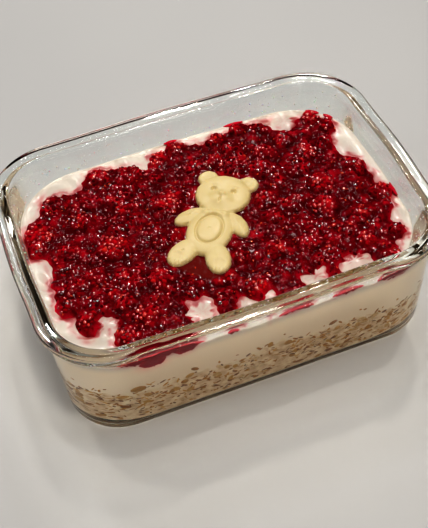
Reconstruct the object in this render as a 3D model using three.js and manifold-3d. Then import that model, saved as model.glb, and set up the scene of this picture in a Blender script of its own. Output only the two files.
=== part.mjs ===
// Overnight oats in a rectangular glass food box: oats, yogurt, raspberry compote and a
// white chocolate bear. Millimetres, +Z up, origin at the centre of the box's base.
import * as THREE from 'three';
import { mergeVertices } from 'three/addons/utils/BufferGeometryUtils.js';
import Module from 'manifold-3d';

// ---- driving dimensions ----
const dish = {
  length: 210, // over the rim's corners, along X
  width: 152, // over the rim's corners, along Y
  height: 70,
  cornerRadius: 36, // of the rim's outline
  sideBow: 1.2, // how far each side of the rim swells out past its corners
  baseInset: 8, // from the rim's outline to the foot of the outer wall
  neckInset: 4.2, // from the rim's outline to the outer wall just under the rim
  neckHeight: 64.7, // underside of the rim
  shoulderHeight: 61.5, // where the outer wall turns out to the rim
  floorThickness: 4,
  lipInset: 9, // from the rim's outline to its inner edge
  lipHeight: 67.6,
  mouthInset: 10.4, // inner wall at the top of the food
  mouthRadius: 38, // its corners, from there down
  heelInset: 12.4, // inner wall where its foot starts to round
  heelHeight: 11,
};

// Sections as distances inward from the wall, or the rim's outline, and heights.
const outerFoot = [[22, 0], [2.8, 0], [1.5, 0.6], [0.4, 2.8]];
const rimSection = [
  [3.6, 63.9], [1, 65.1], [0, 66.4], [0.3, 68.8], [2, 70], [3.6, 69.7], [5, 69.1], [6.6, 69.5],
  [8.3, 69.1],
];
const innerFoot = [[0.7, 8], [2.2, 5.4], [5.2, dish.floorThickness]];

const gap = 0.3; // between neighbouring pieces
const foodLevel = 53; // top of the yogurt
const oats = { level: 29.5, tilt: -0.02, wave: 1.3, wavelength: 46, phase: 0.8 };
const yogurt = {
  floor: 22.5, // below the lowest trough of the oats
  creep: 0.5, // how far it climbs at the glass
  creepWidth: 3,
};
const compote = {
  level: 53.6,
  wallDepth: 5.2, // thickness at the glass
  depth: 7.5, // thickness of the middle
  bowl: [[0.72, 0], [0.92, 1.2]], // its underside: shares of the way to the wall, and rises
  lumpHeight: 1.6,
  lumpLength: 17, // from one lump to the next
  step: 6.6, // mesh of the lumpy surface
};
const bear = {
  centre: [0, 0.4],
  turn: 53.5, // degrees from +X to the line from its feet to its head
  base: 50.4, // underside, sunk in the compote
  thickness: 7,
};

// The bear's pads, with its head towards +Y. Those of limbs come again on its other side.
const bearPads = [
  { x: 0, y: 18.6, across: 14.7, along: 13.8, height: bear.thickness }, // head
  { x: 0, y: -7.3, across: 12, along: 16.8, height: bear.thickness }, // body
  { x: 0, y: 14.1, across: 5.7, along: 4.9, height: bear.thickness + 1, round: 1.4 }, // muzzle
  { x: 0, y: -7.3, across: 6.9, along: 9.6, height: bear.thickness + 0.6, round: 1 }, // belly
];
const bearLimbs = [
  { x: 10.9, y: 29.2, across: 5.8, along: 5.8, height: bear.thickness - 0.7 }, // ear
  { x: 13, y: 0, across: 4.8, along: 8.9, turn: 42, height: bear.thickness - 0.5 }, // arm
  { x: 9.2, y: -24.4, across: 6.6, along: 10, turn: 24, height: bear.thickness - 0.4 }, // leg
];

// Outline of the compote seen from above, clockwise from the left wall. Where it lies
// outside the box's inner wall, the compote touches the glass.
const compoteOutline = [
  [-97, 14], [-97, 28], [-89, 40], [-84, 42], [-79, 50], [-66, 53], [-57.5, 53], [-52, 61],
  [-46, 63.5], [-35, 61], [-20, 53], [-15, 61], [0, 69], [16, 58.5], [23, 64], [29, 61.5],
  [37, 69], [48, 62], [54, 60], [57, 54], [63, 51], [70, 57.5], [80, 58.5], [88, 49],
  [88, 36.5], [84, 35.5], [82.5, 21], [91, 11], [90, 3], [92.5, -1.5], [90.5, -6.5], [98, -14],
  [91, -22], [91, -27.5], [86, -36], [88.5, -42], [81, -50], [78, -70], [64, -70], [62.5, -50],
  [54, -48], [47, -52.5], [45, -70], [40, -70], [39, -49.5], [27, -50], [26, -70], [12, -70],
  [8.5, -52.5], [4, -70], [0, -70], [-5.5, -52], [-11, -70], [-19, -70], [-20.5, -44],
  [-31, -44], [-32, -51], [-34, -70], [-70, -70], [-71.5, -50], [-66.5, -41], [-71.5, -37],
  [-82, -45], [-87, -36], [-92.5, -23], [-91, -7], [-87, 5],
];

const wasm = await Module();
wasm.setup();

// ---- outlines ----

// Stations round the box. Each has a share of the way to the corner centres' rectangle
// in x and y, the outward direction there, and a share of the side's bow.
function stationsRound(cornerSteps, longSteps, shortSteps) {
  const corners = [[1, 1], [-1, 1], [-1, -1], [1, -1]];
  const stations = [];
  corners.forEach(([x, y], i) => {
    for (let k = 0; k <= cornerSteps; k += 1) {
      const angle = (i + k / cornerSteps) * Math.PI / 2;
      stations.push({ x, y, nx: Math.cos(angle), ny: Math.sin(angle), bow: 0 });
    }
    const [nextX, nextY] = corners[(i + 1) % 4];
    const steps = i % 2 === 0 ? longSteps : shortSteps;
    const angle = (i + 1) * Math.PI / 2;
    for (let k = 1; k < steps; k += 1) {
      const t = k / steps;
      stations.push({
        x: x + (nextX - x) * t,
        y: y + (nextY - y) * t,
        nx: Math.cos(angle),
        ny: Math.sin(angle),
        bow: 4 * t * (1 - t),
      });
    }
  });
  return stations;
}

// A station's point on an outline that lies inset inside the rim's outline and has
// corners of the given radius. The bow of the sides grows from the base to the rim.
function outlinePoint(station, inset, z, radius = dish.cornerRadius - inset) {
  const reach = radius + dish.sideBow * station.bow * z / dish.height;
  const x = station.x * (dish.length / 2 - inset - radius) + station.nx * reach;
  const y = station.y * (dish.width / 2 - inset - radius) + station.ny * reach;
  return new THREE.Vector3(x, y, z);
}

function lerpBetween(z, lowZ, lowValue, highZ, highValue) {
  return lowValue + (highValue - lowValue) * (z - lowZ) / (highZ - lowZ);
}

function outerInset(z) {
  return lerpBetween(z, 0, dish.baseInset, dish.neckHeight, dish.neckInset);
}

// A station's point on the inner wall, moved inward. The wall is straight up to the top
// of the food and straight again, with tighter corners, from there to the rim.
function innerPoint(station, z, inward) {
  const { heelHeight, heelInset, mouthInset, mouthRadius, lipHeight, lipInset } = dish;
  if (z <= foodLevel) {
    const wallZ = Math.max(z, heelHeight);
    const inset = lerpBetween(wallZ, heelHeight, heelInset, foodLevel, mouthInset);
    return outlinePoint(station, inset + inward, z, mouthRadius - inward);
  }
  const inset = lerpBetween(z, foodLevel, mouthInset, lipHeight, lipInset);
  const lipRadius = dish.cornerRadius - lipInset;
  const radius = lerpBetween(z, foodLevel, mouthRadius, lipHeight, lipRadius);
  return outlinePoint(station, inset + inward, z, radius - inward);
}

// ---- solids made of rings ----

// A closed solid from a stack of rings, each an array of points round the Z axis, with
// a centre point below the first and after the last.
function ringSolid(start, rings, end) {
  const count = rings[0].length;
  const points = [start, ...rings.flat(), end];
  const index = [];
  for (let k = 0; k < count; k += 1) {
    const next = (k + 1) % count;
    index.push(0, 1 + next, 1 + k);
    const last = 1 + (rings.length - 1) * count;
    index.push(points.length - 1, last + k, last + next);
  }
  for (let ring = 0; ring + 1 < rings.length; ring += 1) {
    const low = 1 + ring * count;
    const high = low + count;
    for (let k = 0; k < count; k += 1) {
      const next = (k + 1) % count;
      index.push(low + k, low + next, high + next);
      index.push(low + k, high + next, high + k);
    }
  }
  const geometry = new THREE.BufferGeometry().setFromPoints(points);
  geometry.setIndex(index);
  return geometry;
}

// A ring shrunk towards the axis and laid on a surface.
function shrunkRing(edge, scale, surface) {
  return edge.map(({ x, y }) => {
    const px = x * scale;
    const py = y * scale;
    return new THREE.Vector3(px, py, surface(px, py));
  });
}

// ---- the glass box ----

function dishGeometry() {
  const stations = stationsRound(8, 5, 4);
  const ring = (pointAt) => stations.map(pointAt);
  const rings = [
    ...outerFoot.map(([inward, z]) => (
      ring((station) => outlinePoint(station, outerInset(z) + inward, z))
    )),
    ring((station) => outlinePoint(station, dish.neckInset, dish.shoulderHeight)),
    ...rimSection.map(([inset, z]) => ring((station) => outlinePoint(station, inset, z))),
    ...[dish.lipHeight, foodLevel, dish.heelHeight].map((z) => (
      ring((station) => innerPoint(station, z, 0))
    )),
    ...innerFoot.map(([inward, z]) => ring((station) => innerPoint(station, z, inward))),
  ];
  const top = new THREE.Vector3(0, 0, dish.floorThickness);
  return ringSolid(new THREE.Vector3(0, 0, 0), rings, top);
}

// ---- the layers ----

// Top of the oats: a slope along the box with two long waves crossing on it.
function oatsTop(x, y) {
  const k = 2 * Math.PI / oats.wavelength;
  const waves = Math.sin(k * x + oats.phase) + Math.cos(k * 0.8 * y + k * 0.4 * x);
  return oats.level + oats.tilt * x + oats.wave * waves;
}

// The edge of a surface where it meets the inner wall, moved outward and lifted by rise.
function topEdge(stations, surface, outward, rise) {
  return stations.map((station) => {
    const guess = innerPoint(station, oats.level, gap);
    const z = surface(guess.x, guess.y) + rise;
    return innerPoint(station, z, gap - outward);
  });
}

// The oats, or with outward and rise above 0 a larger body that cuts its neighbour.
function oatsGeometry(outward, rise) {
  const stations = stationsRound(8, 9, 6);
  const foot = [...innerFoot.toReversed(), [0, dish.heelHeight]];
  const rings = foot.map(([inward, z]) => (
    stations.map((station) => innerPoint(station, z + gap, inward + gap - outward))
  ));
  const top = (x, y) => oatsTop(x, y) + rise;
  if (outward > 0) {
    rings.push(topEdge(stations, oatsTop, outward, rise));
  }
  const edge = topEdge(stations, oatsTop, 0, rise);
  rings.push(edge);
  for (const scale of [0.86, 0.64, 0.4, 0.2]) {
    rings.push(shrunkRing(edge, scale, top));
  }
  const bottom = new THREE.Vector3(0, 0, dish.floorThickness + gap);
  return ringSolid(bottom, rings, new THREE.Vector3(0, 0, top(0, 0)));
}

// The yogurt as a block from the lowest trough of the oats up to its creeping edge.
function yogurtGeometry() {
  const stations = stationsRound(8, 9, 6);
  const rings = [
    ...[yogurt.floor, foodLevel, foodLevel + yogurt.creep].map((z) => (
      stations.map((station) => innerPoint(station, z, gap))
    )),
    stations.map((station) => innerPoint(station, foodLevel, yogurt.creepWidth)),
  ];
  const bottom = new THREE.Vector3(0, 0, yogurt.floor);
  return ringSolid(bottom, rings, new THREE.Vector3(0, 0, foodLevel));
}

// ---- the compote ----

// Lumps of broken berries: two crossed waves, each bent by the other.
function lumps(x, y) {
  const k = 2 * Math.PI / compote.lumpLength;
  const across = Math.sin(k * x + 1.7 * Math.sin(0.31 * k * y + 0.6));
  const along = Math.sin(1.13 * k * y + 1.9 * Math.sin(0.27 * k * x + 2.1));
  return compote.lumpHeight * across * along;
}

// The room between the walls above the compote's bowl-shaped floor, up to the lip, all
// of it moved outward by grow.
function compoteRoomGeometry(grow) {
  const stations = stationsRound(8, 9, 6);
  const edge = (z) => stations.map((station) => innerPoint(station, z, gap - grow));
  const floor = foodLevel - compote.depth - grow;
  const wallFoot = edge(foodLevel - compote.wallDepth - grow);
  const rings = [
    ...compote.bowl.map(([share, rise]) => shrunkRing(wallFoot, share, () => floor + rise)),
    wallFoot,
    edge(foodLevel),
    edge(dish.lipHeight),
  ];
  const bottom = new THREE.Vector3(0, 0, floor);
  return ringSolid(bottom, rings, new THREE.Vector3(0, 0, dish.lipHeight));
}

// A block whose top is the lumpy surface, wider than the box's inside.
function lumpyGeometry() {
  const { length, width } = dish;
  const steps = [Math.round(length / compote.step), Math.round(width / compote.step)];
  const geometry = new THREE.BoxGeometry(length, width, 2 * compote.depth, ...steps, 1);
  const position = geometry.attributes.position;
  for (let i = 0; i < position.count; i += 1) {
    const rise = position.getZ(i) > 0 ? lumps(position.getX(i), position.getY(i)) : 0;
    position.setZ(i, position.getZ(i) + rise + compote.level - compote.depth);
  }
  return geometry;
}

// ---- booleans ----

function toManifold(geometry) {
  const bare = geometry.clone();
  bare.deleteAttribute('normal');
  bare.deleteAttribute('uv');
  const merged = mergeVertices(bare, 1e-4);
  return new wasm.Manifold(new wasm.Mesh({
    numProp: 3,
    vertProperties: new Float32Array(merged.attributes.position.array),
    triVerts: new Uint32Array(merged.index.array),
  }));
}

function toGeometry(manifold) {
  const mesh = manifold.getMesh();
  const geometry = new THREE.BufferGeometry();
  geometry.setAttribute('position', new THREE.BufferAttribute(mesh.vertProperties, 3));
  geometry.setIndex(new THREE.BufferAttribute(mesh.triVerts, 1));
  return geometry;
}

// ---- the compote's edge ----

// The outline moved outward by grow: each corner goes along the mean of the normals of
// its two sides, far enough that both sides move by grow.
function outset(outline, grow) {
  const corners = outline.map(([x, y]) => new THREE.Vector2(x, y));
  const normals = corners.map((corner, i) => {
    const along = corners[(i + 1) % corners.length].clone().sub(corner).normalize();
    return new THREE.Vector2(-along.y, along.x);
  });
  return corners.map((corner, i) => {
    const before = normals.at(i - 1);
    const both = before.clone().add(normals[i]);
    return corner.clone().addScaledVector(both, grow / (1 + before.dot(normals[i])));
  });
}

// An upright prism through the compote's outline, moved outward by grow.
function edgePrism(grow) {
  const shape = new THREE.Shape(outset(compoteOutline, grow));
  return toManifold(new THREE.ExtrudeGeometry(shape, { depth: dish.height, bevelEnabled: false }));
}

// ---- the bear ----

// A moulded pad: flat below, upright side, rounded top edge. It is a turned profile
// pulled to an ellipse, which then lies at (x, y) with its long axis turned.
function pad({ x, y, across, along, turn = 0, height, round = 2.2 }, grow) {
  const full = height + grow;
  const edge = Math.min(round, full);
  const profile = [new THREE.Vector2(0, -grow), new THREE.Vector2(1, -grow)];
  const steps = 2;
  for (let k = 0; k <= steps; k += 1) {
    const angle = k / steps * Math.PI / 2;
    const inward = edge * (1 - Math.cos(angle)) / across;
    profile.push(new THREE.Vector2(1 - inward, full - edge + edge * Math.sin(angle)));
  }
  profile.push(new THREE.Vector2(0, full));
  const geometry = new THREE.LatheGeometry(profile, 18);
  geometry.rotateX(Math.PI / 2);
  geometry.scale(across + grow, along + grow, 1);
  geometry.rotateZ(THREE.MathUtils.degToRad(turn));
  geometry.translate(x, y, 0);
  return geometry;
}

function bearManifold(grow) {
  const mirrored = bearLimbs.map((limb) => ({ ...limb, x: -limb.x, turn: -(limb.turn ?? 0) }));
  const shapes = [...bearPads, ...bearLimbs, ...mirrored];
  const parts = shapes.map((shape) => toManifold(pad(shape, grow)));
  const joined = parts.reduce((whole, part) => whole.add(part));
  return joined.rotate([0, 0, bear.turn - 90]).translate([...bear.centre, bear.base]);
}

// ---- the object ----

const materials = {
  glass: new THREE.MeshStandardMaterial({
    color: 0xcfd8d4, roughness: 0.08, metalness: 0, transparent: true, opacity: 0.35,
  }),
  oats: new THREE.MeshStandardMaterial({ color: 0xb69b78, roughness: 0.75, metalness: 0 }),
  yogurt: new THREE.MeshStandardMaterial({ color: 0xefe7d6, roughness: 0.45, metalness: 0 }),
  compote: new THREE.MeshStandardMaterial({ color: 0x8a0c1c, roughness: 0.18, metalness: 0 }),
  chocolate: new THREE.MeshStandardMaterial({ color: 0xe9d9a4, roughness: 0.5, metalness: 0 }),
};

function namedMesh(name, geometry, material) {
  const mesh = new THREE.Mesh(geometry, material);
  mesh.name = name;
  return mesh;
}

const compoteBlock = toManifold(lumpyGeometry()).intersect(toManifold(compoteRoomGeometry(0)));
const compoteSolid = compoteBlock.intersect(edgePrism(0)).subtract(bearManifold(gap));
const compoteRoom = toManifold(compoteRoomGeometry(gap)).intersect(edgePrism(gap));
const oatsRoom = toManifold(oatsGeometry(1, gap));
const yogurtSolid = toManifold(yogurtGeometry()).subtract(oatsRoom).subtract(compoteRoom);

const overnightOats = new THREE.Group();
overnightOats.add(
  namedMesh('glass_dish', dishGeometry(), materials.glass),
  namedMesh('oats_layer', oatsGeometry(0, 0), materials.oats),
  namedMesh('yogurt_layer', toGeometry(yogurtSolid), materials.yogurt),
  namedMesh('raspberry_compote', toGeometry(compoteSolid), materials.compote),
  namedMesh('chocolate_bear', toGeometry(bearManifold(0)), materials.chocolate),
);

export default overnightOats;
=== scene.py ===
import math
import bpy
import numpy as np
from mathutils import Matrix, Vector


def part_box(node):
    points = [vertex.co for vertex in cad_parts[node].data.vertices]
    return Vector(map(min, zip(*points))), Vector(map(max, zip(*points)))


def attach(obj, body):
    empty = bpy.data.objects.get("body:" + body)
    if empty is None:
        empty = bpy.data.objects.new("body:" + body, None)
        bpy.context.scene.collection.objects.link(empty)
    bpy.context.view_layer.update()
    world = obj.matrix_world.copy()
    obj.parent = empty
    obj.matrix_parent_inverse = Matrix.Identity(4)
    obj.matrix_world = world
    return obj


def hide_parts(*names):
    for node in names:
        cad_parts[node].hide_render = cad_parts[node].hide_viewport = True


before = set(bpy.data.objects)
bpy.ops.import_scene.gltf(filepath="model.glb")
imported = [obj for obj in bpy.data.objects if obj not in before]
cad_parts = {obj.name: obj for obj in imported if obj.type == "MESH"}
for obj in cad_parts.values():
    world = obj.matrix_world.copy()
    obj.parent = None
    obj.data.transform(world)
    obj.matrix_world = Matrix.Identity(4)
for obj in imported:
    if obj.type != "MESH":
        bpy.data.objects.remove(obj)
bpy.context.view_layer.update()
print("frame loaded")

# Everything below is worked out in millimetres and put into the meshes in metres.
mm = 0.001
root = "root"

# The glass box's own lines, shared by all that fills it.
dish = {
    "bow": 1.18,  # each side of the rim swells out past its corners by this
    "corner": 36.0,  # corner radius of the rim's outline
    "height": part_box("glass_dish")[1][2] / mm,
    "halfLength": 105.0, "halfWidth": 76.0,  # of the rim's outline, at its corners
    "lipInset": 9.0, "lip": 67.6,  # inner edge of the rim, inside the rim's outline
    "mouthInset": 10.4, "mouthCorner": 38.0,  # inner wall at the top of the food, and its corners
    "heelInset": 12.4, "heel": 11.0,  # inner wall where its foot starts to round
    "food": 53.0,  # level of the yogurt
    "wet": 0.12,  # how far the contents reach into the wall
    # points round each corner, along each long side and along each short side
    "glassSteps": (26, 30, 20), "foodSteps": (60, 150, 90),
}


def stationsRound(cornerSteps, longSteps, shortSteps):
    # Anticlockwise round the box: shares in x and y of the way to the corner centres'
    # rectangle, the outward normal, and the side's bow, a sine squared along the side.
    corners = [(1, 1), (-1, 1), (-1, -1), (1, -1)]
    rows = []
    for i, (x, y) in enumerate(corners):
        turn = (i + np.arange(cornerSteps) / cornerSteps) * math.pi / 2
        rows.append(np.stack([x + 0 * turn, y + 0 * turn, np.cos(turn), np.sin(turn), 0 * turn], 1))
        nextX, nextY = corners[(i + 1) % 4]
        steps = longSteps if i % 2 == 0 else shortSteps
        t = np.arange(steps) / steps
        angle = (i + 1) * math.pi / 2
        side = [x + (nextX - x) * t, y + (nextY - y) * t, math.cos(angle) + 0 * t, math.sin(angle) + 0 * t]
        rows.append(np.stack(side + [np.sin(math.pi * t) ** 2], 1))
    return np.concatenate(rows)


def outlineAt(stations, inset, z, radius=None):
    # The stations' points on an outline that lies inset inside the rim's outline and has
    # corners of that radius; the bow of the sides grows from the base to the rim.
    radius = dish["corner"] - inset if radius is None else radius
    ux, uy, nx, ny, bow = stations.T
    reach = radius + dish["bow"] * bow * z / dish["height"]
    x = ux * (dish["halfLength"] - inset - radius) + nx * reach
    return np.stack([x, uy * (dish["halfWidth"] - inset - radius) + ny * reach], -1)


def innerInset(z):
    # The inner wall is straight up to the food's level and straight again up to the lip.
    heights = [dish["heel"], dish["food"], dish["lip"]]
    return np.interp(z, heights, [dish["heelInset"], dish["mouthInset"], dish["lipInset"]])


def innerAt(stations, z, inward):
    # The stations' points on the inner wall, moved inward; its corners tighten to the lip.
    lipCorner = dish["corner"] - dish["lipInset"]
    radius = np.interp(z, [dish["food"], dish["lip"]], [dish["mouthCorner"], lipCorner])
    return outlineAt(stations, innerInset(z) + inward, z, radius - inward)


foodStations = stationsRound(*dish["foodSteps"])
staggered = 0.87  # row spacing of a staggered grid, against the spacing in a row


def smoothStep(t):
    # 0 up to t = 0, 1 from t = 1 on, and three t squared less two t cubed between.
    t = np.clip(t, 0, 1)
    return t * t * (3 - 2 * t)


def smoothMax(first, second, soft):
    # The greater of two, rounded over where they are within soft of each other.
    h = np.clip(0.5 + 0.5 * (first - second) / soft, 0, 1)
    return second + (first - second) * h + soft * h * (1 - h)


def ripple(x, y, wavelength, seed, count=9):
    # Uneven waves: the sum of plane waves of about one wavelength in seeded directions.
    rng = np.random.default_rng(seed)
    total = 0 * x
    for turn, phase, stretch in zip(rng.uniform(0, 2 * math.pi, count), rng.uniform(0, 2 * math.pi, count),
                                    rng.uniform(0.75, 1.3, count)):
        k = 2 * math.pi / (wavelength * stretch)
        total = total + np.sin(k * (x * math.cos(turn) + y * math.sin(turn)) + phase)
    return total / math.sqrt(count / 2)


def turned(x, y, px, py, degrees):
    # Places measured from (px, py) along axes that are turned by degrees.
    c, s = math.cos(math.radians(degrees)), math.sin(math.radians(degrees))
    return (x - px) * c + (y - py) * s, (y - py) * c - (x - px) * s


def unitRows(vectors):
    # Each row divided by its own length.
    return vectors / np.linalg.norm(vectors, axis=1, keepdims=True)


def flatRing(xy, z):
    # Points of an outline, all at one height.
    return np.c_[xy, np.full(len(xy), z)]


def lengthsRound(outline):
    # Distance along a closed outline from its first point, up to the same point again.
    return np.concatenate([[0], np.cumsum(np.hypot(*np.diff(np.r_[outline, outline[:1]], axis=0).T))])


def gridFaces(rows, columns, closed):
    # Quads of a grid of points, row after row; closed joins the last column to the first.
    r = np.arange(rows - 1)[:, None]
    c = np.arange(columns if closed else columns - 1)[None, :]
    nextC = (c + 1) % columns
    quads = [r * columns + c, r * columns + nextC, (r + 1) * columns + nextC, (r + 1) * columns + c]
    return np.stack(quads, -1).reshape(-1, 4)


def closedRings(rings, startZ, endZ):
    # Points, quads and triangles of a stack of rings that a point on the middle line
    # closes before the first ring and after the last.
    count, columns = rings.shape[:2]
    points = np.concatenate([[[0, 0, startZ]], rings.reshape(-1, 3), [[0, 0, endZ]]])
    k = np.arange(columns)
    nextK = (k + 1) % columns
    last = len(points) - 1 - columns
    first = np.stack([0 * k, 1 + nextK, 1 + k], 1)
    final = np.stack([0 * k + len(points) - 1, last + k, last + nextK], 1)
    return points, 1 + gridFaces(count, columns, True), np.concatenate([first, final])


def withEnds(values, first=0, last=0):
    # One value a point for closedRings: those of the rings between those of the two ends.
    return np.concatenate([[first], values.ravel(), [last]])


def repeated(faces, count, step):
    # The same faces for each of count copies, whose points follow one another.
    return (faces + (np.arange(count) * step)[:, None, None]).reshape(-1, faces.shape[1])


def unitBall(segments, rows):
    # A closed ball of radius 1: rings of latitude, sine and cosine of longitude round each.
    lat = (np.arange(1, rows) / rows - 0.5) * math.pi
    lon = np.arange(segments) / segments * 2 * math.pi
    ring = [np.cos(lat)[:, None] * np.cos(lon), np.cos(lat)[:, None] * np.sin(lon),
            np.sin(lat)[:, None] + 0 * lon]
    return closedRings(np.stack(ring, -1), -1, 1)


def makePiece(name, shape, material, attributes=None):
    # One smooth mesh object from a shape's points in millimetres, its quads and triangles.
    points, quads, triangles = shape
    mesh = bpy.data.meshes.new(name)
    loops = np.concatenate([quads.ravel(), triangles.ravel()]).astype(np.int32)
    sizes = np.concatenate([np.full(len(quads), 4), np.full(len(triangles), 3)]).astype(np.int32)
    mesh.vertices.add(len(points))
    mesh.vertices.foreach_set("co", (points * mm).astype(np.float32).ravel())
    mesh.loops.add(len(loops))
    mesh.loops.foreach_set("vertex_index", loops)
    mesh.polygons.add(len(sizes))
    mesh.polygons.foreach_set("loop_start", (np.cumsum(sizes) - sizes).astype(np.int32))
    mesh.polygons.foreach_set("loop_total", sizes)
    for key, values in (attributes or {}).items():
        layer = mesh.attributes.new(key, "FLOAT", "POINT")
        layer.data.foreach_set("value", values.astype(np.float32))
    mesh.update(calc_edges=True)
    mesh.validate()
    mesh.shade_smooth()
    mesh.materials.append(material)
    piece = bpy.data.objects.new(name, mesh)
    bpy.context.scene.collection.objects.link(piece)
    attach(piece, root)
    print("piece", name, len(quads) * 2 + len(triangles), "triangles")
    return piece


def turnsTo(normals, spins):
    # For each normal, a right-handed set of axes with its third along the normal and
    # its first turned by spin about it.
    helper = np.where(np.abs(normals[:, 2:]) < 0.9, [[0, 0, 1.0]], [[1.0, 0, 0]])
    first = unitRows(np.cross(helper, normals))
    second = np.cross(normals, first)
    c, s = np.cos(spins)[:, None], np.sin(spins)[:, None]
    return np.stack([first * c + second * s, second * c - first * s, normals], 1)


def scatterPiece(name, shape, centres, sizes, axes, material, attributes=None):
    # Copies of one small shape, stretched by sizes along their own axes, in one mesh.
    points, quads, triangles = shape
    n = len(centres)
    placed = centres[:, None, :] + np.einsum("nvi,nij->nvj", points[None] * sizes[:, None, :], axes)
    step = len(points)
    copies = (placed.reshape(-1, 3), repeated(quads, n, step), repeated(triangles, n, step))
    spread = {key: np.repeat(values, step) for key, values in (attributes or {}).items()}
    makePiece(name, copies, material, spread)


def newMaterial(name):
    material = bpy.data.materials.new(name)
    material.use_nodes = True
    tree = material.node_tree
    return material, tree, tree.nodes["Principled BSDF"]


def setInputs(node, **values):
    for key, value in values.items():
        node.inputs[key.replace("_", " ")].default_value = value


def joinInput(tree, value, socket):
    # A socket is linked; a number or a colour is set.
    if hasattr(value, "links"):
        tree.links.new(value, socket)
    else:
        socket.default_value = (*value, 1) if isinstance(value, tuple) else value


def addNoise(tree, scale, detail=3.0, roughness=0.55, stretch=(1, 1, 1), turn=(0, 0, 0)):
    # Noise in metres of object space, so scale is waves per metre.
    place = tree.nodes.new("ShaderNodeTexCoord")
    mapping = tree.nodes.new("ShaderNodeMapping")
    setInputs(mapping, Scale=stretch, Rotation=turn)
    noise = tree.nodes.new("ShaderNodeTexNoise")
    setInputs(noise, Scale=scale, Detail=detail, Roughness=roughness)
    tree.links.new(place.outputs["Object"], mapping.inputs["Vector"])
    tree.links.new(mapping.outputs["Vector"], noise.inputs["Vector"])
    return noise.outputs["Fac"]


def addAttribute(tree, name):
    node = tree.nodes.new("ShaderNodeAttribute")
    node.attribute_name = name
    return node.outputs["Fac"]


def addRamp(tree, source, stops):
    # Colours between the stops, by a socket or by the attribute of that name.
    ramp = tree.nodes.new("ShaderNodeValToRGB")
    elements = ramp.color_ramp.elements
    while len(elements) < len(stops):
        elements.new(0.5)
    for element, (place, colour) in zip(elements, stops):
        element.position = place
        element.color = (*colour, 1)
    source = addAttribute(tree, source) if isinstance(source, str) else source
    tree.links.new(source, ramp.inputs["Fac"])
    return ramp.outputs["Color"]


def addMix(tree, factor, low, high, blend="MIX"):
    # Colours are sockets or tuples.
    mix = tree.nodes.new("ShaderNodeMix")
    mix.data_type = "RGBA"
    mix.blend_type = blend
    joinInput(tree, factor, mix.inputs["Factor"])
    colours = [socket for socket in mix.inputs if socket.type == "RGBA"]
    joinInput(tree, low, colours[0])
    joinInput(tree, high, colours[1])
    return [socket for socket in mix.outputs if socket.type == "RGBA"][0]


def addMath(tree, operation, first, second):
    node = tree.nodes.new("ShaderNodeMath")
    node.operation = operation
    joinInput(tree, first, node.inputs[0])
    joinInput(tree, second, node.inputs[1])
    return node.outputs["Value"]


def addBump(tree, shader, height, strength, distance):
    bump = tree.nodes.new("ShaderNodeBump")
    setInputs(bump, Strength=strength, Distance=distance)
    tree.links.new(height, bump.inputs["Height"])
    tree.links.new(bump.outputs["Normal"], shader.inputs["Normal"])


def paint(tree, shader, colour):
    tree.links.new(colour, shader.inputs["Base Color"])


def paintGrains(tree, shader, settings, detail):
    # Each grain's own tone, darkened in spots by a fine noise.
    noise = addNoise(tree, settings["grain"], detail)
    spots = addRamp(tree, noise, [(0.35, settings["dark"]), (0.65, (1, 1, 1))])
    tone = addRamp(tree, "tone", settings["tones"])
    paint(tree, shader, addMix(tree, 1.0, tone, spots, "MULTIPLY"))


def wetCoat(tree, shader, weight, rough, density):
    # A film of juice: only the coat shines. The weight is a number or an attribute's socket.
    setInputs(shader, Roughness=0.4, Specular_IOR_Level=0.0, Coat_Roughness=rough, Coat_IOR=density)
    joinInput(tree, weight, shader.inputs["Coat Weight"])


glass = {
    # section outside: inset from the rim's outline, height, and rounding of the corner there
    "outside": [
        (60.0, 0.55, 0), (20.0, 0.55, 2.0), (17.6, 0.0, 1.6), (10.9, 0.0, 1.6), (7.85, 2.9, 2.4),
        (4.4, 62.6, 2.0), (4.0, 64.6, 1.0), (0.9, 65.3, 0.9), (0.0, 66.8, 1.0), (0.15, 69.0, 0.9),
        (1.6, 70.0, 1.0), (3.4, 69.9, 0.9), (4.8, 69.1, 1.0), (6.8, 69.3, 0.9), (8.4, 69.2, 0.9),
        (9.0, 67.6, 0),
    ],
    # the foot inside: inset from the inner wall, height, and rounding
    "foot": [(0.0, 14.0, 0), (0.0, 11.0, 2.0), (0.5, 3.8, 1.9), (4.0, 3.2, 1.9), (46.0, 3.2, 0)],
    "roundingSteps": 6,
    "farIn": 30.0, "middle": 0.6,  # insets past this give a smaller copy of the outline there
    "colour": (0.93, 0.97, 0.967, 1), "density": 1.47,
    "waver": 38, "waverStrength": 0.07,  # of the faint pulls left by the pressing mould
    "lampShare": 0.9, "lampTint": (0.97, 0.96, 0.94, 1),  # of the light that passes to the food
}


def letLampsThrough(tree, shader):
    # Shadow rays pass the clear shader, so that lamps light what lies behind it.
    path = tree.nodes.new("ShaderNodeLightPath")
    clear = tree.nodes.new("ShaderNodeBsdfTransparent")
    setInputs(clear, Color=glass["lampTint"])
    mix = tree.nodes.new("ShaderNodeMixShader")
    share = addMath(tree, "MULTIPLY", path.outputs["Is Shadow Ray"], glass["lampShare"])
    tree.links.new(share, mix.inputs["Fac"])
    tree.links.new(shader.outputs["BSDF"], mix.inputs[1])
    tree.links.new(clear.outputs["BSDF"], mix.inputs[2])
    tree.links.new(mix.outputs["Shader"], tree.nodes["Material Output"].inputs["Surface"])


def glassMaterial():
    material, tree, shader = newMaterial("pressedGlass")
    setInputs(shader, Base_Color=glass["colour"], Roughness=0.0, Transmission_Weight=1.0)
    setInputs(shader, IOR=glass["density"])
    addBump(tree, shader, addNoise(tree, glass["waver"], 1.0, 0.4), glass["waverStrength"], 0.002)
    letLampsThrough(tree, shader)
    return material


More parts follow.
